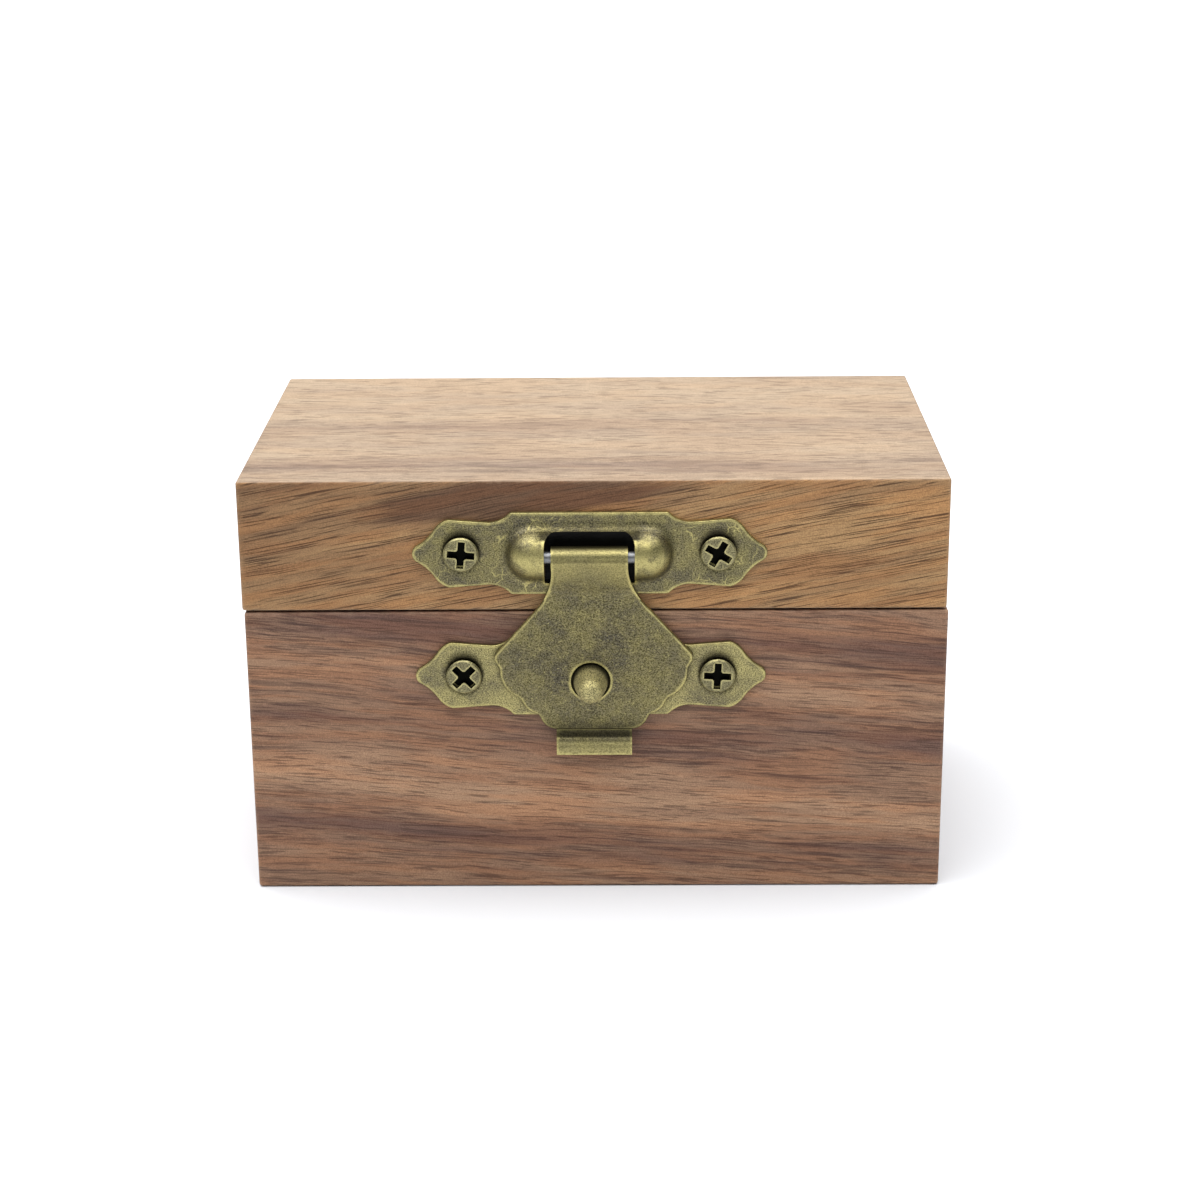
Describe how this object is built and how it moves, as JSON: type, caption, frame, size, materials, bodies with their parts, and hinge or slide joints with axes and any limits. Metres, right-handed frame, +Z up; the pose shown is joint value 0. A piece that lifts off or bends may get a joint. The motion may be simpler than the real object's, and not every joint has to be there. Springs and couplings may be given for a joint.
{
  "type": "watch box",
  "caption": "Small hinged walnut box with a pressed antique brass hasp on the front, lined in cloth, with a pillow that holds a wristwatch.",
  "frame": {"origin": "centre of the flat wooden bottom face", "axes": "+X along the front from left to right, -Y out of the front with the hasp, +Z up"},
  "size_m": [0.1003, 0.0715, 0.062],
  "materials": {
    "base_walnut": "oiled walnut, straight grain, reddish brown",
    "lid_walnut": "oiled walnut, paler and yellower than the base",
    "antique_brass": "antique brass, dark patina rubbed bright at the edges",
    "hinge_brass": "antique brass, dark patina",
    "screw_brass": "pale plated brass, bright rim",
    "pin_steel": "bright drawn steel",
    "lining_cloth": "beige brushed microsuede",
    "pad_cloth": "beige brushed microsuede over foam",
    "pillow_cloth": "beige brushed microsuede over wadding"
  },
  "bodies": {
    "base": {"base_box": "base_walnut", "base_lining_wall": "lining_cloth", "base_lining_floor": "lining_cloth", "watch_pillow": "pillow_cloth", "hasp_catch_plate": "antique_brass", "hasp_catch_post": "antique_brass", "catch_plate_screws": "screw_brass", "left_hinge_base_leaf": "hinge_brass", "right_hinge_base_leaf": "hinge_brass", "left_hinge_pin": "hinge_brass", "right_hinge_pin": "hinge_brass", "hinge_base_screws": "screw_brass"},
    "lid": {"lid_box": "lid_walnut", "lid_lining_wall": "lining_cloth", "lid_pad": "pad_cloth", "hasp_upper_plate": "antique_brass", "hasp_pin": "pin_steel", "upper_plate_screws": "screw_brass", "left_hinge_lid_leaf": "hinge_brass", "right_hinge_lid_leaf": "hinge_brass", "hinge_lid_screws": "screw_brass"},
    "flap": {"hasp_flap": "antique_brass"}
  },
  "joints": [
    {"name": "lid_hinge", "type": "hinge", "parent": "base", "child": "lid", "pos_m": [0, 0.0324, 0.0428], "axis": [-1, 0, 0], "range_deg": [0, 180]},
    {"name": "flap_hinge", "type": "hinge", "parent": "lid", "child": "flap", "pos_m": [-0.0008, -0.03295, 0.0515], "axis": [-1, 0, 0], "range_deg": [0, 175]}
  ]
}
